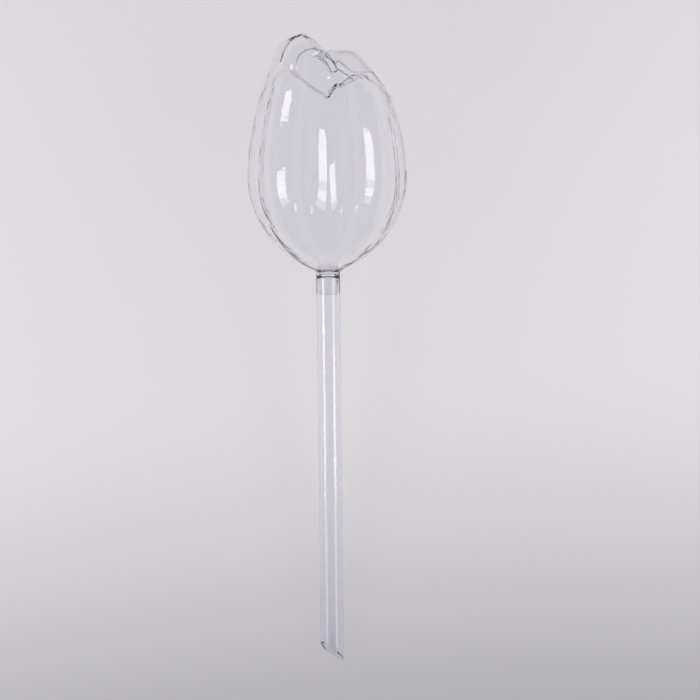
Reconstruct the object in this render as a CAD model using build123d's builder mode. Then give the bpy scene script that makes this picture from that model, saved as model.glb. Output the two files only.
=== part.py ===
"""A clear watering globe: a blown rosebud bulb whose neck pushes into a straight stem tube.

Millimetres, +Z up, as the globe stands in its pot. The origin is on the stem's axis at its top end,
where the bulb seats on it: the bulb is above, the stem goes down into the soil. The front faces -Y.
"""
import os
from math import cos, radians, sin, sqrt, tan

from build123d import *

# Stem: a straight tube, cut off slantwise at its lower end
STEM_DIAMETER = 10.0
STEM_WALL = 1.2
STEM_LENGTH = 169.0  # from the top end to the point of the tip
TIP_SLOPE = 41.0  # degrees, the slanted cut against a square one
TIP_TURN = 28.0  # degrees, from +X round to the side where the tip is longest
BORE_LEAD_IN = 0.4

# Neck: a spigot under the bulb that pushes into the stem's bore
SPIGOT_LENGTH = 8.0
SPIGOT_WALL = 0.7
SPIGOT_CLEARANCE = 0.05
SPIGOT_LEAD_IN = 0.3
FLARE_RADIUS = 1.8  # of the hollow curve from the neck out to the bulb's base

# Bulb: five petals swell out of the base and draw in again towards the crown
BULB_WALL = 1.0
BASE_HEIGHT = 1.2  # where the petals' lower outline would close
BASE_WALL = 0.8
BELLY_HEIGHT = 40.0
CROWN_HEIGHT = 107.0  # where the petals' upper outline would close
BASE_FULLNESS = 1.8
BASE_ROUNDNESS = 0.57
CROWN_FULLNESS = 1.7
PETAL_OFFSET = 17.2  # from the axis to the middle of a petal's arc, at the belly
PETAL_RADIUS = 17.1  # of that arc, at the belly
VALLEY_RADIUS = 2.5  # of the hollow curve between two petals, at the belly
PETAL_COUNT = 5

# Rims: the two front petals end in rims, with a notch between them. A rim's points are given sideways
# from the middle of its petal and upwards from the notch.
NOTCH_HEIGHT = 74.0
FRONT_LEFT_RIM = ((-16, 0), (-13.2, 1), (-10.4, 9.3), (4, 10.6), (13.2, 0), (15.2, 0))
FRONT_RIGHT_RIM = ((-15.2, 0), (-13, 0), (-10.6, 4.8), (-4.9, 8.4), (5.4, 8.6), (13.2, 20), (16, 20))
RIM_RADIUS = 1.6
RIM_WALL = 1.4

# Crown: the other petals run on upwards and are drawn in along an arc, turned about an upright line of
# its own. The arc's three points are given outwards from that line and upwards.
CROWN_PLACE = -4.0  # of that line, along X
CROWN_ARC = ((36.4, 60.7), (28.0, 78.4), (15.4, 93.6))
CROWN_ROUNDING = 3.0

# Hood: the innermost petal, an egg that rises out of the crown and leans to the left, with a rounder tip.
# Its edge slants down to the right, and the mouth in its front shows the heart, a smaller egg inside it.
HOOD_PLACE = (-3.5, 1.2, 71.4)
HOOD_RADIUS = 19.0
HOOD_RISE = 29.0
HOOD_LEAN = 15.0  # degrees, towards -X
HOOD_TIP_PLACE = (-11.2, 1.2, 89.2)
HOOD_TIP_RADIUS = 9.6
HOOD_EDGE_HEIGHT = 93.3  # over the axis
HOOD_EDGE_SLOPE = 38.7  # degrees
MOUTH_OUTLINE = ((-12.5, 72), (-12.5, 88.5), (-8.4, 94), (-4, 94), (4, 87.2), (12, 80.5), (12, 72))
MOUTH_RADIUS = 2.0
MOUTH_DEPTH = 1.6

# Sections of the lofted petals
FIRST_SECTION = 16.0  # degrees of the quarter turn from base to belly
LOWER_SECTIONS = 6
UPPER_SECTIONS = 5

STEM_RADIUS = STEM_DIAMETER / 2
BORE_RADIUS = STEM_RADIUS - STEM_WALL
SPIGOT_RADIUS = BORE_RADIUS - SPIGOT_CLEARANCE
NECK_BORE_RADIUS = SPIGOT_RADIUS - SPIGOT_WALL
PETAL_STEP = 360 / PETAL_COUNT
FIRST_VALLEY = -90.0  # degrees, the notch that faces front
CROWN_TOP = CROWN_ARC[-1][1]
REACH = 2 * (PETAL_OFFSET + PETAL_RADIUS)  # well past the bulb's sides


def petal_swell(height, base, crown):
    """How far the petals stand out at a height, as a share of the belly."""
    if height < BELLY_HEIGHT:
        below = (BELLY_HEIGHT - height) / (BELLY_HEIGHT - base)
        return (1 - below**BASE_FULLNESS) ** BASE_ROUNDNESS
    above = (height - BELLY_HEIGHT) / (crown - BELLY_HEIGHT)
    return sqrt(1 - above**CROWN_FULLNESS)


def section_heights(base, top):
    """Heights for the loft's sections: close together near the base, even above the belly."""
    quarter = 90 - FIRST_SECTION
    lower = [
        base + (BELLY_HEIGHT - base) * (1 - cos(radians(FIRST_SECTION + quarter * i / LOWER_SECTIONS)))
        for i in range(LOWER_SECTIONS + 1)
    ]
    upper = [BELLY_HEIGHT + (top - BELLY_HEIGHT) * i / UPPER_SECTIONS for i in range(1, UPPER_SECTIONS + 1)]
    return lower + upper


def polar(radius, angle):
    """A point in a level section, from its distance to the axis and its angle from +X."""
    return (radius * cos(radians(angle)), radius * sin(radians(angle)))


def valley_distance(swell, inset):
    """How far from the axis two neighbouring petal arcs cross."""
    half = radians(PETAL_STEP / 2)
    offset = PETAL_OFFSET * swell
    radius = PETAL_RADIUS * swell - inset
    return offset * cos(half) + sqrt(radius**2 - (offset * sin(half)) ** 2)


def petal_cup(inset, base, crown, top):
    """The five outer petals as one lobed body, lofted from base to top and drawn in by inset."""
    with BuildPart() as cup:
        for height in section_heights(base, top):
            swell = petal_swell(height, base, crown)
            valley = valley_distance(swell, inset)
            crest = (PETAL_OFFSET + PETAL_RADIUS) * swell - inset
            with BuildSketch(Plane.XY.offset(height)) as section:
                with BuildLine():
                    for i in range(PETAL_COUNT):
                        angle = FIRST_VALLEY + i * PETAL_STEP
                        ThreePointArc(
                            polar(valley, angle),
                            polar(crest, angle + PETAL_STEP / 2),
                            polar(valley, angle + PETAL_STEP),
                        )
                make_face()
                fillet(section.vertices(), VALLEY_RADIUS * swell + inset)
        loft()
    return cup.part


def rim_cutter(rim, side, inset):
    """What is cut away above a front rim, from the notch in the middle round to the side petal."""
    angle = FIRST_VALLEY + side * PETAL_STEP / 2
    facing = Plane((0, 0, NOTCH_HEIGHT), x_dir=(*polar(1, angle + 90), 0), z_dir=(*polar(1, angle), 0))
    behind = inset / cos(radians(90 - PETAL_STEP))
    far = polar(REACH, FIRST_VALLEY + side * PETAL_STEP)
    start = -side * inset
    with BuildPart() as cutter:
        with BuildSketch(facing):
            with BuildLine():
                FilletPolyline(*rim, radius=RIM_RADIUS)
                Polyline(rim[-1], (rim[-1][0], CROWN_TOP), (rim[0][0], CROWN_TOP), rim[0])
            make_face()
            if inset:
                offset(amount=RIM_WALL)
        extrude(amount=REACH)
        with BuildSketch():
            Polygon(
                (start, behind + start * far[1] / far[0]),
                (start, -REACH),
                (far[0], -REACH),
                (far[0], behind + far[1]),
                align=None,
            )
        extrude(amount=2 * CROWN_HEIGHT, mode=Mode.INTERSECT)
    return cutter.part


def crown_body(inset):
    """What the petals are kept within as they draw in towards the top."""
    arc = [(outwards - inset, up - inset) for outwards, up in CROWN_ARC]
    plane = Plane((CROWN_PLACE, 0, 0), x_dir=(1, 0, 0), z_dir=(0, -1, 0))
    with BuildPart() as body:
        with BuildSketch(plane) as profile:
            with BuildLine():
                ThreePointArc(*arc)
                Polyline(arc[2], (0, arc[2][1]), (0, 0), (REACH, 0), (REACH, BELLY_HEIGHT), arc[0])
            make_face()
            fillet(profile.vertices().sort_by_distance(plane.from_local_coords(arc[2]))[0], CROWN_ROUNDING)
        revolve(axis=Axis(plane.origin, plane.y_dir))
    return body.part


def egg(inset):
    """An egg at the hood's place: half an ellipse turned round its own axis, which leans towards -X."""
    across = (cos(radians(HOOD_LEAN)), 0, sin(radians(HOOD_LEAN)))
    plane = Plane(HOOD_PLACE, x_dir=across, z_dir=(0, -1, 0))
    with BuildPart() as body:
        with BuildSketch(plane):
            with BuildLine():
                EllipticalCenterArc(
                    (0, 0), HOOD_RADIUS - inset, HOOD_RISE - inset, start_angle=-90, arc_size=180
                )
                Line((0, HOOD_RISE - inset), (0, inset - HOOD_RISE))
            make_face()
        revolve(axis=Axis(plane.origin, plane.y_dir))
    return body.part


def hood(inset):
    """The hood with its slanted edge, and the heart in its mouth."""
    slope = radians(HOOD_EDGE_SLOPE)
    edge = Plane((0, 0, HOOD_EDGE_HEIGHT - inset / cos(slope)), z_dir=(sin(slope), 0, cos(slope)))
    with BuildPart() as bud:
        add(egg(inset))
        with Locations(HOOD_TIP_PLACE):
            Sphere(HOOD_TIP_RADIUS - inset)
        with BuildSketch(Plane.XZ):
            with BuildLine():
                FilletPolyline(*MOUTH_OUTLINE, radius=MOUTH_RADIUS, close=True)
            make_face()
            if inset:
                offset(amount=inset)
        extrude(amount=REACH, mode=Mode.SUBTRACT)
        add(egg(inset + MOUTH_DEPTH))
        split(bisect_by=edge, keep=Keep.BOTTOM)
    return bud.part


def rosebud(inset, base):
    """The whole bud, outer and inner petals, with every wall drawn in by inset."""
    with BuildPart() as bud:
        add(petal_cup(inset, base, CROWN_HEIGHT - inset, CROWN_TOP))
        add(crown_body(inset), mode=Mode.INTERSECT)
        add(rim_cutter(FRONT_LEFT_RIM, -1, inset), mode=Mode.SUBTRACT)
        add(rim_cutter(FRONT_RIGHT_RIM, 1, inset), mode=Mode.SUBTRACT)
        add(hood(inset))
    return bud.part


os.makedirs("parts", exist_ok=True)

# Bulb: the hollow rosebud, its neck and the spigot under it
seat_height = section_heights(BASE_HEIGHT, CROWN_TOP)[0]
floor_height = section_heights(BASE_HEIGHT + BASE_WALL, CROWN_TOP)[0]
outside = rosebud(0, BASE_HEIGHT)
inside = rosebud(BULB_WALL, BASE_HEIGHT + BASE_WALL)
with BuildPart() as bulb:
    add(outside)
    with BuildSketch(Plane.XZ):
        with BuildLine():
            Polyline(
                (0, floor_height),
                (0, -SPIGOT_LENGTH),
                (SPIGOT_RADIUS - SPIGOT_LEAD_IN, -SPIGOT_LENGTH),
                (SPIGOT_RADIUS, -SPIGOT_LENGTH + SPIGOT_LEAD_IN),
                (SPIGOT_RADIUS, 0),
                (STEM_RADIUS, 0),
                (STEM_RADIUS, seat_height - FLARE_RADIUS),
            )
            flare = JernArc(
                (STEM_RADIUS, seat_height - FLARE_RADIUS), (0, 1), FLARE_RADIUS, -90
            )
            Polyline(flare @ 1, (STEM_RADIUS + FLARE_RADIUS, floor_height), (0, floor_height))
        make_face()
    revolve(axis=Axis.Z)
    add(inside, mode=Mode.SUBTRACT)
    with Locations((0, 0, -SPIGOT_LENGTH)):
        Cylinder(
            NECK_BORE_RADIUS,
            SPIGOT_LENGTH + BELLY_HEIGHT,
            align=(Align.CENTER, Align.CENTER, Align.MIN),
            mode=Mode.SUBTRACT,
        )
bulb.part.label = "bulb"
export_step(bulb.part, "parts/bulb.step")

# Stem: the tube, with a lead-in for the spigot and a slanted tip that cuts into soil
tip_middle = -STEM_LENGTH + STEM_RADIUS * tan(radians(TIP_SLOPE))
tip_lean = polar(sin(radians(TIP_SLOPE)), TIP_TURN)
tip_plane = Plane((0, 0, tip_middle), z_dir=(*tip_lean, cos(radians(TIP_SLOPE))))
with BuildPart() as stem:
    with BuildSketch(Plane.XY):
        Circle(STEM_RADIUS)
        Circle(BORE_RADIUS, mode=Mode.SUBTRACT)
    extrude(amount=-STEM_LENGTH)
    chamfer(stem.edges().group_by(Axis.Z)[-1].sort_by(SortBy.RADIUS)[0], BORE_LEAD_IN)
    split(bisect_by=tip_plane, keep=Keep.TOP)
stem.part.label = "stem"
export_step(stem.part, "parts/stem.step")
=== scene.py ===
import bpy
import numpy as np
from mathutils import Matrix, Vector


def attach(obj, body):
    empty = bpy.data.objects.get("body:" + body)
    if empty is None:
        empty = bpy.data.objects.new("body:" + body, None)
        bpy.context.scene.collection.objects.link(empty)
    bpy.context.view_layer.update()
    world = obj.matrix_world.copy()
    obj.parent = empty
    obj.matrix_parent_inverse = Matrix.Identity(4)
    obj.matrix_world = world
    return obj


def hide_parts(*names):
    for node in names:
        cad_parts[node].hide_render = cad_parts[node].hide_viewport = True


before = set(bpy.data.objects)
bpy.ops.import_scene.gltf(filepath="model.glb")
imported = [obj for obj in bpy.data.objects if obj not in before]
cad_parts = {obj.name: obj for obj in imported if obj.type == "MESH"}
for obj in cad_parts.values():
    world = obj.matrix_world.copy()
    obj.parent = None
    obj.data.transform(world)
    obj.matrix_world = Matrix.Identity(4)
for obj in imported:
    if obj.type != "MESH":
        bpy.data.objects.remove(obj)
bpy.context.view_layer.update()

bpy.context.scene.view_settings.view_transform = "Standard"


# Stem
# A straight length of clear extruded PVC tube. The bulb's neck pushes into its top end, and its lower end
# is sawn off slantwise, so that it goes into soil easily and stays open. Sizes are in millimetres.
MM = 0.001
TUBE_RADIUS = 5.0
TUBE_BORE = 3.8
TUBE_LENGTH = 169.8
TIP_SLOPE = np.radians(45.9)
TIP_TURN = np.radians(42.0)
CUT_ROUNDING = 0.15
BORE_LEAD_IN = 0.1
SEAT_RADIUS = 4.7
SEAT_DEPTH = 8.0
TUBE_COLUMNS = 160
SEAT_ROWS = 8
SHAFT_ROWS = 60
TIP_ROWS = 25

# Shares of the way down the stem: where the tip's close rows begin, and where the rows begin to slant
TIP_START = 0.9
SLANT_START = 0.55
SLANT_RUN = 0.45

# Clear PVC: how far it bends light, what colour is left after a long way in it, how much lamplight goes
# through a wall, and its tint where it is hazy
PVC_BEND = 1.53
PVC_COLOUR = (0.3, 0.25, 0.9)
LAMPLIGHT_THROUGH = 0.995
HAZE_COLOUR = (0.99, 0.99, 1.0)

# How flow lines are drawn out along the piece, and how fine, rough and deep scuffs are, which lie where the
# haze is between two strengths or stronger
FLOW_DRAWN_OUT = 0.07
SCUFF_SCALE = 130.0
SCUFF_WIDTH = 0.012
SCUFF_ROUGHNESS = 0.12
SCUFF_HEIGHT = -0.005
SCUFF_HAZE = (0.56, 0.7)


def ramp(value, start, run):
    """A share that is nought at the start, one after the run and even in between. A run below nought goes
    the other way."""
    return np.clip((value - start) / run, 0, 1)


def skin_mesh(name, points, ends=None):
    """A mesh over a grid of points given in millimetres. Each point is joined to the next one in its row and
    to the same one in the row below, and every row closes on itself. With no ends the last row joins the
    first, as on a ring; otherwise each end row is closed by a fan to its own end point."""
    rows, columns = points.shape[:2]
    numbers = np.arange(rows * columns).reshape(rows, columns)
    beside = np.roll(numbers, -1, axis=1)
    upper = numbers if ends is None else numbers[:-1]
    lower = np.roll(numbers, -1, axis=0) if ends is None else numbers[1:]
    upper_beside = beside if ends is None else beside[:-1]
    lower_beside = np.roll(beside, -1, axis=0) if ends is None else beside[1:]
    faces = np.stack([upper, lower, lower_beside, upper_beside], axis=-1).reshape(-1, 4).tolist()
    places = points.reshape(-1, 3)
    if ends is not None:
        first = np.full(columns, rows * columns)
        last = first + 1
        faces += np.stack([first, numbers[0], beside[0]], axis=-1).tolist()
        faces += np.stack([numbers[-1], last, beside[-1]], axis=-1).tolist()
        places = np.concatenate([places, np.asarray(ends)])
    mesh = bpy.data.meshes.new(name)
    mesh.from_pydata((places * MM).tolist(), [], faces)
    mesh.shade_smooth()
    return mesh


def tube_points():
    """The stem's skin as one closed ring of rows: down the outside, over the slanted cut and up the bore to
    the tapered seat and its lead-in at the top. A row is a circle. Towards the tip its points drop with the
    slanted cut, whose depth at a point is the cut's slope times how far it lies towards the long side."""
    turn = np.linspace(0, 2 * np.pi, TUBE_COLUMNS, endpoint=False)
    side = np.cos(turn - TIP_TURN)
    middle = -TUBE_LENGTH + TUBE_RADIUS * np.tan(TIP_SLOPE)
    seat = -SEAT_DEPTH / middle
    way = np.concatenate([
        np.linspace(0, seat, SEAT_ROWS),
        np.linspace(seat, TIP_START, SHAFT_ROWS)[1:],
        np.linspace(TIP_START, 1, TIP_ROWS)[1:],
    ])
    bend = np.radians([0, 30, 60, 90])
    outer_radius = np.concatenate([
        TUBE_RADIUS - CUT_ROUNDING + CUT_ROUNDING * np.sin(bend[1:]),
        np.full(way.size, TUBE_RADIUS),
        TUBE_RADIUS - CUT_ROUNDING + CUT_ROUNDING * np.cos(bend),
    ])
    outer_way = np.concatenate([np.zeros(bend.size - 1), way, np.ones(bend.size)])
    outer_lift = np.concatenate([
        CUT_ROUNDING * (np.cos(bend[1:]) - 1),
        CUT_ROUNDING * (way * 2 - 1),
        CUT_ROUNDING * (1 - np.sin(bend)),
    ])
    inner_radius = np.concatenate([
        TUBE_BORE + CUT_ROUNDING - CUT_ROUNDING * np.sin(bend),
        TUBE_BORE + (SEAT_RADIUS - TUBE_BORE) * np.clip(1 + way[::-1] * middle / SEAT_DEPTH, 0, 1),
        [SEAT_RADIUS + BORE_LEAD_IN * 0.5, SEAT_RADIUS + BORE_LEAD_IN],
    ])
    inner_way = np.concatenate([np.ones(bend.size), way[::-1], np.zeros(2)])
    inner_lift = np.concatenate([
        CUT_ROUNDING * (1 - np.cos(bend)),
        np.where(way < 0.5, -BORE_LEAD_IN * (1 - way * 2), CUT_ROUNDING * (way * 2 - 1))[::-1],
        [-BORE_LEAD_IN * 0.5, 0],
    ])
    radius = np.concatenate([outer_radius, inner_radius])[:, None]
    way_down = np.concatenate([outer_way, inner_way])[:, None]
    lift = np.concatenate([outer_lift, inner_lift])[:, None]
    slanted = middle - np.tan(TIP_SLOPE) * radius * side
    level = middle * np.ones_like(slanted)
    near_tip = ramp(way_down, SLANT_START, SLANT_RUN) ** 2
    height = way_down * (level + (slanted - level) * near_tip) + lift
    return np.stack([radius * np.cos(turn), radius * np.sin(turn), height], axis=-1)


def clear_surface_group():
    """What moulding and handling leave on clear plastic, shared by both pieces: long flow lines down the
    piece, a slow change of haze and a few fine scuffs, as a roughness, a height and a tint."""
    group = bpy.data.node_groups.new("clear_plastic_surface", "ShaderNodeTree")
    sockets = group.interface
    for name, value in (("Flow Lines", 90.0), ("Haze Size", 40.0), ("Gloss", 0.03), ("Haze", 0.05)):
        socket = sockets.new_socket(name, in_out="INPUT", socket_type="NodeSocketFloat")
        socket.default_value = value
    sockets.new_socket("Roughness", in_out="OUTPUT", socket_type="NodeSocketFloat")
    sockets.new_socket("Height", in_out="OUTPUT", socket_type="NodeSocketFloat")
    sockets.new_socket("Tint", in_out="OUTPUT", socket_type="NodeSocketColor")
    nodes, links = group.nodes, group.links
    given = nodes.new("NodeGroupInput")
    result = nodes.new("NodeGroupOutput")
    place = nodes.new("ShaderNodeTexCoord")
    drawn_out = nodes.new("ShaderNodeMapping")
    drawn_out.inputs["Scale"].default_value = (1.0, 1.0, FLOW_DRAWN_OUT)
    links.new(place.outputs["Object"], drawn_out.inputs["Vector"])
    flow = nodes.new("ShaderNodeTexNoise")
    flow.inputs["Detail"].default_value = 3.0
    links.new(drawn_out.outputs["Vector"], flow.inputs["Vector"])
    links.new(given.outputs["Flow Lines"], flow.inputs["Scale"])
    haze = nodes.new("ShaderNodeTexNoise")
    haze.inputs["Detail"].default_value = 5.0
    links.new(place.outputs["Object"], haze.inputs["Vector"])
    links.new(given.outputs["Haze Size"], haze.inputs["Scale"])
    scuffs = nodes.new("ShaderNodeTexVoronoi")
    scuffs.feature = "DISTANCE_TO_EDGE"
    scuffs.inputs["Scale"].default_value = SCUFF_SCALE
    links.new(place.outputs["Object"], scuffs.inputs["Vector"])
    thin = nodes.new("ShaderNodeMapRange")
    thin.inputs["From Min"].default_value = 0.0
    thin.inputs["From Max"].default_value = SCUFF_WIDTH
    thin.inputs["To Min"].default_value = 1.0
    thin.inputs["To Max"].default_value = 0.0
    links.new(scuffs.outputs["Distance"], thin.inputs["Value"])
    patches = nodes.new("ShaderNodeMapRange")
    patches.inputs["From Min"].default_value = SCUFF_HAZE[0]
    patches.inputs["From Max"].default_value = SCUFF_HAZE[1]
    links.new(haze.outputs["Fac"], patches.inputs["Value"])
    scuffed = nodes.new("ShaderNodeMath")
    scuffed.operation = "MULTIPLY"
    links.new(thin.outputs["Result"], scuffed.inputs[0])
    links.new(patches.outputs["Result"], scuffed.inputs[1])
    hazed = nodes.new("ShaderNodeMath")
    hazed.operation = "MULTIPLY_ADD"
    links.new(haze.outputs["Fac"], hazed.inputs[0])
    links.new(given.outputs["Haze"], hazed.inputs[1])
    links.new(given.outputs["Gloss"], hazed.inputs[2])
    rough = nodes.new("ShaderNodeMath")
    rough.operation = "MULTIPLY_ADD"
    rough.inputs[1].default_value = SCUFF_ROUGHNESS
    links.new(scuffed.outputs["Value"], rough.inputs[0])
    links.new(hazed.outputs["Value"], rough.inputs[2])
    links.new(rough.outputs["Value"], result.inputs["Roughness"])
    height = nodes.new("ShaderNodeMath")
    height.operation = "MULTIPLY_ADD"
    height.inputs[1].default_value = SCUFF_HEIGHT
    links.new(scuffed.outputs["Value"], height.inputs[0])
    waves = nodes.new("ShaderNodeMath")
    waves.operation = "ADD"
    links.new(flow.outputs["Fac"], waves.inputs[0])
    links.new(haze.outputs["Fac"], waves.inputs[1])
    links.new(waves.outputs["Value"], height.inputs[2])
    links.new(height.outputs["Value"], result.inputs["Height"])
    tint = nodes.new("ShaderNodeMix")
    tint.data_type = "RGBA"
    tint.inputs["A"].default_value = (1, 1, 1, 1)
    tint.inputs["B"].default_value = (*HAZE_COLOUR, 1)
    links.new(haze.outputs["Fac"], tint.inputs["Factor"])
    links.new(tint.outputs["Result"], result.inputs["Tint"])
    return group


def clear_plastic(name, flow_lines, haze_size, gloss, haze, ripple, density):
    """A clear glossy plastic: light goes through it, bends as in PVC and loses a little red and green on its
    way, so that long ways along a wall look blue. Lamps shine through it, as it casts hardly any shadow."""
    material = bpy.data.materials.new(name)
    material.use_nodes = True
    nodes, links = material.node_tree.nodes, material.node_tree.links
    nodes.clear()
    surface = nodes.new("ShaderNodeGroup")
    surface.node_tree = clear_surface
    surface.inputs["Flow Lines"].default_value = flow_lines
    surface.inputs["Haze Size"].default_value = haze_size
    surface.inputs["Gloss"].default_value = gloss
    surface.inputs["Haze"].default_value = haze
    ripples = nodes.new("ShaderNodeBump")
    ripples.inputs["Strength"].default_value = 1.0
    ripples.inputs["Distance"].default_value = ripple
    links.new(surface.outputs["Height"], ripples.inputs["Height"])
    plastic = nodes.new("ShaderNodeBsdfPrincipled")
    plastic.inputs["Transmission Weight"].default_value = 1.0
    plastic.inputs["IOR"].default_value = PVC_BEND
    links.new(surface.outputs["Tint"], plastic.inputs["Base Color"])
    links.new(surface.outputs["Roughness"], plastic.inputs["Roughness"])
    links.new(ripples.outputs["Normal"], plastic.inputs["Normal"])
    let_through = nodes.new("ShaderNodeBsdfTransparent")
    let_through.inputs["Color"].default_value = (LAMPLIGHT_THROUGH, LAMPLIGHT_THROUGH, LAMPLIGHT_THROUGH, 1)
    path = nodes.new("ShaderNodeLightPath")
    lit = nodes.new("ShaderNodeMixShader")
    links.new(path.outputs["Is Shadow Ray"], lit.inputs["Fac"])
    links.new(plastic.outputs["BSDF"], lit.inputs[1])
    links.new(let_through.outputs["BSDF"], lit.inputs[2])
    tinted = nodes.new("ShaderNodeVolumeAbsorption")
    tinted.inputs["Color"].default_value = (*PVC_COLOUR, 1)
    tinted.inputs["Density"].default_value = density
    output = nodes.new("ShaderNodeOutputMaterial")
    links.new(lit.outputs["Shader"], output.inputs["Surface"])
    links.new(tinted.outputs["Volume"], output.inputs["Volume"])
    return material


clear_surface = clear_surface_group()
stem = bpy.data.objects.new("stem_tube", skin_mesh("stem_tube", tube_points()))
bpy.context.scene.collection.objects.link(stem)
stem.data.materials.append(clear_plastic(
    "clear_tube", flow_lines=260.0, haze_size=60.0, gloss=0.02, haze=0.04, ripple=0.00002, density=22.0,
))
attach(stem, "stem")
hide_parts("stem")
stem.visible_diffuse = False


# Bulb
# The water reservoir, blown in one piece from clear PVC in the form of a rosebud. Five petals swell out of
# the base. The two in front end in rims, and the others close over the top, where a hood with a mouth rises.
# Its short neck ends in a tapered spigot that pushes into the stem. Sizes are in millimetres.
BASE_HEIGHT = 1.2
BELLY_HEIGHT = 40.0
CROWN_HEIGHT = 107.0
BASE_FULLNESS = 1.8
BASE_ROUNDNESS = 0.57
CROWN_FULLNESS = 1.7
PETAL_SIDES = np.radians([-54.0, 18.0, 90.0, 162.0, 234.0])
PETAL_OFFSET = 17.2
PETAL_RADIUS = 17.1
FRONT_LEFT_RADIUS = 18.0
LEAST_SWELL = 0.05
SLOPE_STEP = 0.2
STEEPEST = 3.0
BULB_WALL = 0.6
COLLAR_RADIUS = 5.0
COLLAR_BLEND = 2.4
COLLAR_HEIGHT = 0.35
COLLAR_RUN_OUT = 0.8
NECK_BORE = 3.05
NECK_TAPER = 0.9
NECK_DEPTH = 8.0
NECK_TAPER_END = 1.2
FLOOR_BLEND = 0.8

# The spigot's profile from the collar down its outside and round its lip into the bore: radius and height
SPIGOT = np.array([
    (5.0, 0.1), (4.98, 0.03), (4.93, 0.0), (4.7, 0.0), (4.65, -0.04), (4.63, -0.15), (4.2, -4.0),
    (3.79, -7.6), (3.7, -7.8), (3.52, -7.95), (3.38, -8.0), (3.24, -7.96), (3.13, -7.85), (3.1, -7.6),
])

# How softly the valleys between petals are filled. They are filled more towards the base, under the notch
# and in the right valley, where that begins and ends at a side, a depth and two heights
FRONT_VALLEY = np.radians(-90.0)
VALLEY_BLEND = 1.0
BASE_VALLEY_BLEND = 3.5
BASE_VALLEY_TOP = 48.0
BASE_VALLEY_RUN = 30.0
NOTCH_VALLEY_BLEND = 9.0
NOTCH_VALLEY_BOTTOM = 59.0
NOTCH_VALLEY_RUN = 10.0
RIGHT_VALLEY_BLEND = 14.0
RIGHT_VALLEY_SIDE = 12.0
RIGHT_VALLEY_SIDE_RUN = 6.0
RIGHT_VALLEY_DEPTH = 1.0
RIGHT_VALLEY_DEPTH_RUN = 4.0
RIGHT_VALLEY_BOTTOM = 2.0
RIGHT_VALLEY_BOTTOM_RUN = 22.0
RIGHT_VALLEY_TOP = 84.0
RIGHT_VALLEY_TOP_RUN = 10.0

# Rims of the two front petals with the notch between them, as a broken line in the front view. They grow
# rounder towards the right end, and the ledge inside them rises inwards
FRONT_RIMS = np.array([
    (-24.0, 80.0), (-20.4, 82.6), (-18.8, 84.1), (-12.6, 84.6), (-6.4, 79.1), (-0.5, 75.3), (0.9, 74.2),
    (4.4, 79.2), (5.6, 78.6), (11.6, 82.6), (16.2, 82.4), (24.0, 84.0),
])
RIM_ROUNDING = 0.8
RIM_FADE = 6.0
RIM_FADE_SIDE = 12.5
RIM_FADE_RUN = 6.0
LEDGE_RISE = 0.06
LEDGE_RADIUS = 23.0
LEDGE_WIDTH = 8.0

# The crown that draws the petals in. Its arc runs outwards from its middle and upwards: the middle of the
# arc and its radius
CROWN_MIDDLE = (-4.0, 0.0)
CROWN_ARC = (-38.8, 35.9, 79.2)
CROWN_TOP = 93.6
CROWN_ROUNDING = 3.0

# The fold of the right petal behind the front rims, which spreads forwards below its top
FOLD_FRONT = 5.0
FOLD_TOP = 84.0
FOLD_SPREAD = 2.0
FOLD_ROUNDING = 3.0

# The hood, an egg with a rounder tip: their middles and radii, and the egg's rise and lean towards the left
HOOD = ((-3.5, 0.2, 71.4), 19.3, 29.0, np.radians(15.0))
HOOD_TIP = ((-11.0, 1.2, 88.3), 9.4)
HOOD_EDGE_HEIGHT = 93.3
HOOD_EDGE_SLOPE = np.radians(38.7)
HOOD_EDGE_ROUNDING = 1.4
HOOD_BLEND = 1.2
HOOD_TIP_BLEND = 4.0
LEAST_STEEPNESS = 1e-6

# Petal edges and creases in the mouth of the bud, as broken lines in the front view
HOOD_EDGE = np.array([
    (-18.4, 88.2), (-17.5, 91.6), (-16.3, 94.4), (-14.6, 97.0), (-12.3, 98.7), (-10.1, 99.3),
])
MOUTH_EDGE = np.array([
    (-11.4, 81.0), (-12.5, 84.3), (-12.4, 88.0), (-11.0, 91.4), (-8.1, 93.4), (-6.0, 94.0), (-4.1, 93.9),
    (-2.2, 92.8), (0.0, 91.3), (2.6, 89.1), (4.0, 87.2), (6.0, 85.2), (9.0, 83.2), (12.0, 80.5),
])
SPIRAL_EDGE = np.array([
    (-5.0, 89.3), (-3.3, 90.2), (-1.9, 89.7), (-0.2, 88.0), (0.9, 86.1), (1.9, 83.9), (2.5, 81.9),
])
CRINKLES = (
    np.array([(2.8, 89.3), (4.0, 87.7), (4.6, 86.5)]),
    np.array([(2.6, 84.9), (3.8, 84.3), (5.0, 85.7), (6.5, 84.9), (7.7, 84.3)]),
)

# How deep and wide those folds are, how far they fade out beside their lines, and how much thicker the wall
# is inside along each line. All of them run out towards the back, and those outside also below a height
HOOD_LINE_DEPTH = 0.5
HOOD_LINE_STEP = 0.5
HOOD_LINE_FADE = 1.6
MOUTH_DEPTH = 0.8
MOUTH_STEP = 1.1
SPIRAL_RISE = 0.8
SPIRAL_STEP = 0.6
SPIRAL_FADE = 2.5
CLEFT_DEPTH = 1.6
CLEFT_WIDTH = 0.8
CLEFT_BESIDE = 0.7
CRINKLE_DEPTH = 0.4
CRINKLE_WIDTH = 0.7
HOOD_CREASE = 0.5
MOUTH_CREASE = 0.8
SPIRAL_CREASE = 1.2
CRINKLE_CREASE = 0.8
CREASE_WIDTH = 0.6
FOLDS_BACK = 2.0
FOLDS_BOTTOM = 72.0
FOLDS_RUN = 4.0

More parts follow.
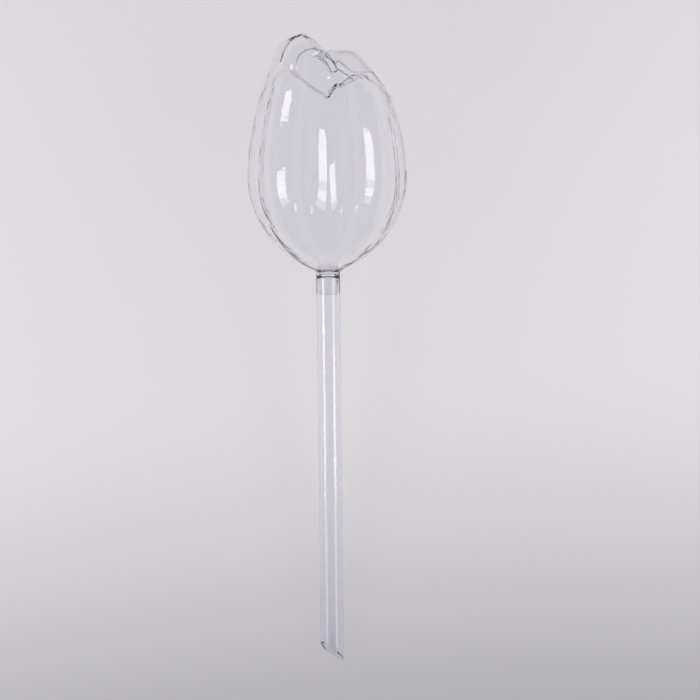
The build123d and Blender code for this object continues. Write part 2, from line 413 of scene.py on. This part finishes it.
# Columns and rows of the skin. Columns lie closer together at the front and in the valleys. Crown rows look
# up from the hood's middle, at degrees from nearly upright down to level; the others look out level, and
# those of the base and the floor lie closer together towards the neck
BULB_COLUMNS = 268
FINE_COLUMNS = 4001
FRONT_CLOSENESS = 0.5
VALLEY_CLOSENESS = 0.6
VALLEY_SHARPNESS = 4
OUTER_POLE = 89.7
INNER_POLE = 89.6
CAP_EDGE = 78.0
CROWN_FOOT = 4.0
CROWN_FOOT_ROWS = (2.6, 1.3, 0.0)
OUTER_CAP_ROWS = 12
OUTER_CROWN_ROWS = 130
OUTER_SIDE_ROWS = 17
BASE_ROWS = 52
BASE_CLOSENESS = 1.9
BORE_BOTTOM = -5.0
BORE_ROWS = 5
FLOOR_HEIGHT = 1.5
FLOOR_ROWS = 38
FLOOR_CLOSENESS = 1.8
INNER_SIDE_ROWS = 15
INNER_CROWN_ROWS = 86
INNER_CAP_ROWS = 7
LONGEST_WAY = 75
HALVINGS = 22


def petal_swell(height):
    """How far the petals stand out at a height, as a share of the belly: below the belly one less the
    fullness power of the share of the way down, to the roundness power; above it the square root of one
    less the fullness power of the share of the way up to the crown."""
    below = ramp(height, BELLY_HEIGHT, BASE_HEIGHT - BELLY_HEIGHT)
    above = ramp(height, BELLY_HEIGHT, CROWN_HEIGHT - BELLY_HEIGHT)
    lower = (1 - below**BASE_FULLNESS) ** BASE_ROUNDNESS
    upper = np.sqrt(1 - above**CROWN_FULLNESS)
    return np.where(height < BELLY_HEIGHT, lower, upper)


def joined(first, second, blend):
    """The lower of two distances, with the corner between them filled by a curve that is blend wide."""
    share = np.clip(blend - np.abs(first - second), 0, None) / blend
    return np.minimum(first, second) - share**2 * blend / 4


def cut_off(first, second, blend):
    """The higher of two distances, with the corner between them rounded off by a curve that is blend wide."""
    return -joined(-first, -second, blend)


def egg_distance(x, y, z, egg):
    """Roughly how far a point is outside an egg: its place is taken along the egg's own leaning axis and
    divided by the radius and rise, and the excess over one is scaled back to millimetres."""
    middle, radius, rise, lean = egg
    across, back, up = x - middle[0], y - middle[1], z - middle[2]
    along = up * np.cos(lean) - across * np.sin(lean)
    across = across * np.cos(lean) + up * np.sin(lean)
    near = np.sqrt((across**2 + back**2) / radius**2 + along**2 / rise**2)
    steep = np.sqrt((across**2 + back**2) / radius**4 + along**2 / rise**4)
    return near * (near - 1) / np.maximum(steep, LEAST_STEEPNESS)


def line_distance(x, z, line):
    """Distance in the front view from points to a broken line, signed by the side of its nearest straight
    piece, and a fade for the line's ends: the square root of the sine of how far along it the nearest place
    is, from nought at its start over one in its middle to nought at its end."""
    nearest = np.full(x.shape, np.inf)
    side = np.zeros(x.shape)
    share = np.zeros(x.shape)
    pieces = len(line) - 1
    for number in range(pieces):
        start, way = line[number], line[number + 1] - line[number]
        across, up = x - start[0], z - start[1]
        along = np.clip((across * way[0] + up * way[1]) / (way @ way), 0, 1)
        distance = np.hypot(across - along * way[0], up - along * way[1])
        closer = distance < nearest
        nearest = np.where(closer, distance, nearest)
        side = np.where(closer, np.sign(way[0] * up - way[1] * across), side)
        share = np.where(closer, (number + along) / pieces, share)
    return nearest * side, np.sqrt(np.sin(np.pi * share))


def step_down(side, width):
    """A step across a line: one on its right, nought on its left and even over the width in between."""
    return np.clip(0.5 - side / width, 0, 1)


def mouth_relief(x, y, z):
    """What the small folds add to the hood's distance in the bud's mouth: the step down from the hood's edge
    into the mouth, a raised line along the hood, the spiral edge with the cleft beside it, and narrow grooves
    for the crinkles. All but the step fade out at their ends, and all of them towards the back."""
    relief = np.zeros(x.shape)
    side, ends = line_distance(x, z, HOOD_EDGE)
    beside = np.exp(-np.abs(side) / HOOD_LINE_FADE)
    relief += HOOD_LINE_DEPTH * ends * beside * step_down(side, HOOD_LINE_STEP)
    side, ends = line_distance(x, z, MOUTH_EDGE)
    relief += MOUTH_DEPTH * step_down(side, MOUTH_STEP)
    side, ends = line_distance(x, z, SPIRAL_EDGE)
    beside = np.exp(-np.abs(side) / SPIRAL_FADE)
    relief -= SPIRAL_RISE * ends * beside * step_down(side, SPIRAL_STEP)
    relief += CLEFT_DEPTH * ends * np.exp(-(((side - CLEFT_BESIDE) / CLEFT_WIDTH) ** 2))
    for line in CRINKLES:
        side, ends = line_distance(x, z, line)
        relief += CRINKLE_DEPTH * ends * np.exp(-((side / CRINKLE_WIDTH) ** 2))
    return relief * (ramp(y, FOLDS_BACK, -FOLDS_RUN) * ramp(z, FOLDS_BOTTOM, FOLDS_RUN))


def mouth_creases(x, y, z):
    """How much thicker the wall is along the lines of the mouth, where its folds have run together: a rounded
    ridge on the inside that fades out at the ends of each line and towards the back."""
    ridge = np.zeros(x.shape)
    creases = [(HOOD_EDGE, HOOD_CREASE), (MOUTH_EDGE, MOUTH_CREASE), (SPIRAL_EDGE, SPIRAL_CREASE)]
    creases += [(line, CRINKLE_CREASE) for line in CRINKLES]
    for line, thick in creases:
        side, ends = line_distance(x, z, line)
        ridge = np.maximum(ridge, thick * ends * np.exp(-((side / CREASE_WIDTH) ** 2)))
    return ridge * ramp(y, FOLDS_BACK, -FOLDS_RUN)


def bud_distance(x, y, z):
    """Roughly how far a point is outside the bud's outer skin. Each petal is a circle on its own side of the
    axis that swells with the height, and neighbours are joined in valleys that grow shallow towards the base.
    The two front petals are cut off at their rims by a ledge. The other three run on up to the crown, drawn
    in along its arc, and out of them rises the hood, cut off along its own slanted edge."""
    swell = petal_swell(z)
    slope = petal_swell(z + SLOPE_STEP) - petal_swell(z - SLOPE_STEP)
    slope = slope / (2 * SLOPE_STEP) * (PETAL_OFFSET + PETAL_RADIUS)
    steep = np.sqrt(1 + np.minimum(slope**2, STEEPEST**2))
    front_right, right, back, left, front_left = [
        (np.hypot(x - PETAL_OFFSET * swell * np.cos(side), y - PETAL_OFFSET * swell * np.sin(side))
            - PETAL_RADIUS * swell) / steep
        for side in PETAL_SIDES
    ]
    front_left = front_left - (FRONT_LEFT_RADIUS - PETAL_RADIUS) * swell / steep
    shallow = ramp(z, BASE_VALLEY_TOP, -BASE_VALLEY_RUN)
    valley = VALLEY_BLEND + (BASE_VALLEY_BLEND - VALLEY_BLEND) * shallow**2
    valley = valley * np.maximum(swell, LEAST_SWELL)
    from_middle = np.hypot(x - CROWN_MIDDLE[0], y - CROWN_MIDDLE[1])
    crown = np.hypot(from_middle - CROWN_ARC[0], z - CROWN_ARC[1]) - CROWN_ARC[2]
    crown = cut_off(crown, z - CROWN_TOP, CROWN_ROUNDING)
    fold = -y - FOLD_FRONT - FOLD_SPREAD * np.clip(FOLD_TOP - z, 0, None)
    right = cut_off(right, fold, FOLD_ROUNDING)
    rear = cut_off(joined(joined(left, back, valley), right, valley), crown, CROWN_ROUNDING)
    slant = np.sin(HOOD_EDGE_SLOPE) * x + np.cos(HOOD_EDGE_SLOPE) * (z - HOOD_EDGE_HEIGHT)
    tip_x, tip_y, tip_z = HOOD_TIP[0]
    tip = np.sqrt((x - tip_x) ** 2 + (y - tip_y) ** 2 + (z - tip_z) ** 2) - HOOD_TIP[1]
    hood = joined(egg_distance(x, y, z, HOOD), tip, HOOD_TIP_BLEND) + mouth_relief(x, y, z)
    hood = cut_off(hood, slant, HOOD_EDGE_ROUNDING)
    rear = joined(rear, hood, HOOD_BLEND)
    inwards = LEDGE_RISE * np.clip(LEDGE_RADIUS - np.hypot(x, y), 0, LEDGE_WIDTH)
    ledge = z - np.interp(x, *FRONT_RIMS.T) - inwards
    under_notch = ramp(z, NOTCH_VALLEY_BOTTOM, NOTCH_VALLEY_RUN)
    front_valley = valley + (NOTCH_VALLEY_BLEND - valley) * under_notch
    rim_rounding = RIM_ROUNDING + RIM_FADE * ramp(x, RIM_FADE_SIDE, RIM_FADE_RUN)
    front = cut_off(joined(front_left, front_right, front_valley), ledge, rim_rounding)
    right_share = ramp(x, RIGHT_VALLEY_SIDE, RIGHT_VALLEY_SIDE_RUN)
    right_share = right_share * ramp(y, RIGHT_VALLEY_DEPTH, -RIGHT_VALLEY_DEPTH_RUN)
    rising = ramp(z, RIGHT_VALLEY_BOTTOM, RIGHT_VALLEY_BOTTOM_RUN)
    right_share = right_share * rising**2 * (3 - 2 * rising)
    right_share = right_share * ramp(z, RIGHT_VALLEY_TOP, -RIGHT_VALLEY_TOP_RUN)
    valley = valley + (RIGHT_VALLEY_BLEND - valley) * right_share
    return joined(cut_off(front, crown, CROWN_ROUNDING), rear, valley)


def outside_distance(x, y, z):
    """The bud's distance, with the round collar of the neck joined on under it by a hollow curve."""
    collar = np.maximum(np.hypot(x, y) - COLLAR_RADIUS, z - BELLY_HEIGHT / 2)
    return joined(bud_distance(x, y, z), collar, COLLAR_BLEND)


def cavity_distance(x, y, z):
    """The same for the hollow inside: the bud drawn in by its wall and creases, joined to the tapered bore
    of the neck."""
    neck = NECK_BORE + NECK_TAPER * np.clip(1 + z / NECK_DEPTH, 0, NECK_TAPER_END)
    bore = np.maximum(np.hypot(x, y) - neck, z - BELLY_HEIGHT / 2)
    return joined(bud_distance(x, y, z) + BULB_WALL + mouth_creases(x, y, z), bore, FLOOR_BLEND)


def skin_rows(distance, start, rise, turn):
    """Rows of points on a skin. Each row looks outwards from its own start point inside the bud, at its own
    angle above the level, and every point lies where its line last leaves the body: the line is walked
    inwards in even steps until it is inside, and that step is then halved again and again."""
    level = np.cos(rise)[:, None] * np.ones_like(turn)
    upwards = np.sin(rise)[:, None] * np.ones_like(turn)
    way = np.stack([level * np.cos(turn), level * np.sin(turn), upwards])
    start = start.T[:, :, None]
    steps = np.linspace(LONGEST_WAY, 0, LONGEST_WAY + 1)
    outer = np.full(level.shape, steps[0])
    inner = np.zeros(level.shape)
    found = np.zeros(level.shape, dtype=bool)
    for step in steps:
        inside = distance(*(start + way * step)) < 0
        inner = np.where(inside & ~found, step, inner)
        outer = np.where(inside | found, outer, step)
        found |= inside
    for _ in range(HALVINGS):
        middle = (outer + inner) / 2
        inside = distance(*(start + way * middle)) < 0
        inner = np.where(inside, middle, inner)
        outer = np.where(inside, outer, middle)
    return np.moveaxis(start + way * inner, 0, -1)


def row_starts(height):
    """Start points of rows: on the axis up to the belly, moving over to the hood's middle above it."""
    share = ramp(height, BELLY_HEIGHT, HOOD[0][2] - BELLY_HEIGHT)
    share = share**2 * (3 - 2 * share)
    return np.stack([share * HOOD[0][0], share * HOOD[0][1], height], axis=-1)


def bulb_columns():
    """Angles of the columns round the bulb, closer together at the front and in the valleys: evenly spaced
    shares of the summed closeness."""
    fine = np.linspace(-np.pi, np.pi, FINE_COLUMNS)
    in_valley = 0.5 + 0.5 * np.cos(PETAL_SIDES.size * (fine - FRONT_VALLEY))
    closeness = 1 + FRONT_CLOSENESS * np.cos(fine - FRONT_VALLEY)
    closeness = closeness + VALLEY_CLOSENESS * in_valley**VALLEY_SHARPNESS
    summed = np.concatenate([[0], np.cumsum((closeness[1:] + closeness[:-1]) / 2)])
    return np.interp(np.linspace(0, summed[-1], BULB_COLUMNS, endpoint=False), summed, fine)


def bulb_points():
    """The bulb's skin as rows from the outer crown down the outside, round the collar and the spigot, and
    up the inside to the inner crown, and the two crown points."""
    turn = bulb_columns()
    hood_height = HOOD[0][2]
    outer_rise = np.radians(np.concatenate([
        np.linspace(OUTER_POLE, CAP_EDGE, OUTER_CAP_ROWS),
        np.linspace(CAP_EDGE, CROWN_FOOT, OUTER_CROWN_ROWS)[1:],
        CROWN_FOOT_ROWS,
    ]))
    outer_start = row_starts(np.full(outer_rise.size, hood_height))
    outer_top = skin_rows(outside_distance, outer_start, outer_rise, turn)
    way_down = np.linspace(0, 1, BASE_ROWS)[1:]
    outer_height = np.concatenate([
        np.linspace(hood_height, BELLY_HEIGHT, OUTER_SIDE_ROWS)[1:],
        BELLY_HEIGHT - (BELLY_HEIGHT - COLLAR_HEIGHT) * (1 - (1 - way_down) ** BASE_CLOSENESS),
    ])
    outer_low = skin_rows(outside_distance, row_starts(outer_height), np.zeros(outer_height.size), turn)
    free = ramp(outer_height, COLLAR_HEIGHT, COLLAR_RUN_OUT)[:, None, None]
    round_collar = np.stack([np.cos(turn), np.sin(turn)], axis=-1) * COLLAR_RADIUS
    outer_low[..., :2] = round_collar + (outer_low[..., :2] - round_collar) * free
    ring = np.stack([np.cos(turn), np.sin(turn), np.ones_like(turn)], axis=-1)
    spigot_rows = ring * SPIGOT[:, [0, 0, 1]][:, None, :]
    way_up = np.linspace(0, 1, FLOOR_ROWS)[1:]
    inner_height = np.concatenate([
        np.linspace(BORE_BOTTOM, FLOOR_HEIGHT, BORE_ROWS),
        FLOOR_HEIGHT + (BELLY_HEIGHT - FLOOR_HEIGHT) * way_up**FLOOR_CLOSENESS,
        np.linspace(BELLY_HEIGHT, hood_height, INNER_SIDE_ROWS)[1:],
    ])
    inner_low = skin_rows(cavity_distance, row_starts(inner_height), np.zeros(inner_height.size), turn)
    inner_rise = np.radians(np.concatenate([
        np.linspace(0, CAP_EDGE, INNER_CROWN_ROWS)[1:],
        np.linspace(CAP_EDGE, INNER_POLE, INNER_CAP_ROWS)[1:],
    ]))
    inner_start = row_starts(np.full(inner_rise.size, hood_height))
    inner_top = skin_rows(cavity_distance, inner_start, inner_rise, turn)
    crowns = np.stack([outer_top[0].mean(axis=0), inner_top[-1].mean(axis=0)])
    return np.concatenate([outer_top, outer_low, spigot_rows, inner_low, inner_top]), crowns


bulb_grid, bulb_crowns = bulb_points()
bulb = bpy.data.objects.new("bulb_rosebud", skin_mesh("bulb_rosebud", bulb_grid, bulb_crowns))
bpy.context.scene.collection.objects.link(bulb)
bulb.data.materials.append(clear_plastic(
    "clear_blown_bulb", flow_lines=60.0, haze_size=50.0, gloss=0.015, haze=0.045, ripple=0.0006, density=18.0,
))
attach(bulb, "bulb")
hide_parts("bulb")
bulb.visible_diffuse = False


# Cloth
# A plain pale cloth that the globe lies on, seen straight from above, with painted shade that darkens its
# colour towards the bottom. The globe rests on it with the back of its bulb and of its tip. It is seen from
# the front only, so that it hides nothing from behind.
LOOKING_DOWN = np.radians(8.6)
RIGHT = Vector((1, 0, 0))
UPWARDS = Vector((0, np.sin(LOOKING_DOWN), np.cos(LOOKING_DOWN)))
TOWARDS = Vector((0, -np.cos(LOOKING_DOWN), np.sin(LOOKING_DOWN)))
CLOTH_BEHIND = 28.8
CLOTH_HALF = 700.0
PICTURE_MIDDLE = (8.9, -31.5)

# The cloth grows paler upwards and a little to the left, between two heights in metres: painted light and
# shade, standing in for the lamps' light falling off towards the bottom of the cloth
PAINTED_LIGHT_WAY = (-0.09, 0.0, 1.0)
PAINTED_SHADE_HEIGHT = -0.27
PAINTED_LIGHT_HEIGHT = -0.045
PAINTED_SHADE_CLOTH = (0.35, 0.347, 0.345)
PAINTED_LIGHT_CLOTH = (0.70, 0.683, 0.643)
WEAVE_SCALE = 900.0
NAP_HEIGHT = 0.0003

cloth_middle = (RIGHT * PICTURE_MIDDLE[0] + UPWARDS * PICTURE_MIDDLE[1] - TOWARDS * CLOTH_BEHIND) * MM
corners = [
    cloth_middle + (RIGHT * across + UPWARDS * up) * CLOTH_HALF * MM
    for across, up in ((-1, -1), (1, -1), (1, 1), (-1, 1))
]
cloth_mesh = bpy.data.meshes.new("cloth")
cloth_mesh.from_pydata([tuple(corner) for corner in corners], [], [(0, 1, 2, 3)])
cloth = bpy.data.objects.new("cloth", cloth_mesh)
bpy.context.scene.collection.objects.link(cloth)
cloth_material = bpy.data.materials.new("pale_cloth")
cloth_material.use_nodes = True
nodes, links = cloth_material.node_tree.nodes, cloth_material.node_tree.links
fabric = nodes["Principled BSDF"]
fabric.inputs["Roughness"].default_value = 0.95
fabric.inputs["Specular IOR Level"].default_value = 0.1
place = nodes.new("ShaderNodeTexCoord")
height = nodes.new("ShaderNodeVectorMath")
height.operation = "DOT_PRODUCT"
height.inputs[1].default_value = PAINTED_LIGHT_WAY
links.new(place.outputs["Object"], height.inputs[0])
# The mask of the painted shade: nought at the painted shade's height, one at the painted light's height
fade = nodes.new("ShaderNodeMapRange")
fade.interpolation_type = "SMOOTHSTEP"
fade.inputs["From Min"].default_value = PAINTED_SHADE_HEIGHT
fade.inputs["From Max"].default_value = PAINTED_LIGHT_HEIGHT
links.new(height.outputs["Value"], fade.inputs["Value"])
# Painted shade: the cloth's colour is mixed from the darker painted shade below to the paler painted light
# above
painted_shade_mix = nodes.new("ShaderNodeMix")
painted_shade_mix.data_type = "RGBA"
painted_shade_mix.inputs["A"].default_value = (*PAINTED_SHADE_CLOTH, 1)
painted_shade_mix.inputs["B"].default_value = (*PAINTED_LIGHT_CLOTH, 1)
links.new(fade.outputs["Result"], painted_shade_mix.inputs["Factor"])
links.new(painted_shade_mix.outputs["Result"], fabric.inputs["Base Color"])
weave = nodes.new("ShaderNodeTexNoise")
weave.inputs["Scale"].default_value = WEAVE_SCALE
weave.inputs["Detail"].default_value = 4.0
links.new(place.outputs["Object"], weave.inputs["Vector"])
nap = nodes.new("ShaderNodeBump")
nap.inputs["Strength"].default_value = 0.25
nap.inputs["Distance"].default_value = NAP_HEIGHT
links.new(weave.outputs["Fac"], nap.inputs["Height"])
links.new(nap.outputs["Normal"], fabric.inputs["Normal"])
facing = nodes.new("ShaderNodeNewGeometry")
unseen = nodes.new("ShaderNodeBsdfTransparent")
one_sided = nodes.new("ShaderNodeMixShader")
links.new(facing.outputs["Backfacing"], one_sided.inputs["Fac"])
links.new(fabric.outputs["BSDF"], one_sided.inputs[1])
links.new(unseen.outputs["BSDF"], one_sided.inputs[2])
links.new(one_sided.outputs["Shader"], nodes["Material Output"].inputs["Surface"])
cloth_mesh.materials.append(cloth_material)


# Light and camera
# Stacks of soft boxes stand left and right of the camera, and a dim, even and slightly blue room fills in
# the rest. The camera looks straight down on the cloth.
LAMP_TURN = np.radians(52.0)
SPOT_TURN = 0.5 * LAMP_TURN
LAMP_AWAY = 800.0
LAMP_AIM = UPWARDS * BELLY_HEIGHT
ROOM_COLOUR = (0.74, 0.74, 1.0)
ROOM_STRENGTH = 0.36
CAMERA_AWAY = 700.0
SENSOR_WIDTH = 36.0
PIXEL = 0.42
FRAME_PIXELS = 700
ROLL = np.radians(0.545)


def soft_box(name, turn, up, width, height, radiance):
    """A flat lamp at an angle to the side of the camera, turned to the bulb. Its power is its radiance times
    its area times pi. It mirrors in the near walls of the clear pieces only."""
    lamp = bpy.data.lights.new(name, "AREA")
    lamp.shape = "RECTANGLE"
    lamp.size = width * MM
    lamp.size_y = height * MM
    lamp.energy = radiance * np.pi * width * height * MM * MM
    box = bpy.data.objects.new(name, lamp)
    away = RIGHT * np.sin(turn) + TOWARDS * np.cos(turn)
    position = LAMP_AIM + away * LAMP_AWAY + UPWARDS * up
    facing_back = (position - LAMP_AIM).normalized()
    across = UPWARDS.cross(facing_back).normalized()
    axes = Matrix((across, facing_back.cross(across), facing_back)).transposed().to_4x4()
    box.matrix_world = Matrix.Translation(position * MM) @ axes
    box.visible_camera = False
    box.visible_transmission = False
    bpy.context.scene.collection.objects.link(box)


soft_box("left_upper_box", -LAMP_TURN, up=395.0, width=340.0, height=230.0, radiance=6.4)
soft_box("left_lower_box", -LAMP_TURN, up=-122.0, width=340.0, height=276.0, radiance=6.4)
soft_box("left_stem_box", -LAMP_TURN, up=-330.0, width=340.0, height=140.0, radiance=5.8)
soft_box("left_tip_box", -LAMP_TURN, up=-480.0, width=340.0, height=160.0, radiance=2.8)
soft_box("left_low_spot", -SPOT_TURN, up=-760.0, width=100.0, height=150.0, radiance=4.5)
soft_box("right_soft_box", LAMP_TURN, up=69.0, width=340.0, height=317.0, radiance=6.4)
soft_box("right_lower_box", LAMP_TURN, up=-172.0, width=340.0, height=164.0, radiance=3.6)
soft_box("right_stem_box", LAMP_TURN, up=-330.0, width=340.0, height=140.0, radiance=6.4)
soft_box("right_tip_box", LAMP_TURN, up=-480.0, width=340.0, height=160.0, radiance=2.8)
soft_box("right_low_spot", SPOT_TURN, up=-760.0, width=100.0, height=150.0, radiance=4.5)

world = bpy.data.worlds.new("room")
bpy.context.scene.world = world
world.use_nodes = True
room = world.node_tree.nodes["Background"]
room.inputs["Color"].default_value = (*ROOM_COLOUR, 1)
room.inputs["Strength"].default_value = ROOM_STRENGTH

camera_data = bpy.data.cameras.new("camera")
camera_data.sensor_width = SENSOR_WIDTH
camera_data.lens = SENSOR_WIDTH * CAMERA_AWAY / (PIXEL * FRAME_PIXELS)
camera = bpy.data.objects.new("camera", camera_data)
camera_right = RIGHT * np.cos(ROLL) - UPWARDS * np.sin(ROLL)
camera_up = UPWARDS * np.cos(ROLL) + RIGHT * np.sin(ROLL)
camera_axes = Matrix((camera_right, camera_up, TOWARDS)).transposed().to_4x4()
camera_place = RIGHT * PICTURE_MIDDLE[0] + UPWARDS * PICTURE_MIDDLE[1] + TOWARDS * CAMERA_AWAY
camera.matrix_world = Matrix.Translation(camera_place * MM) @ camera_axes
bpy.context.scene.collection.objects.link(camera)
bpy.context.scene.camera = camera
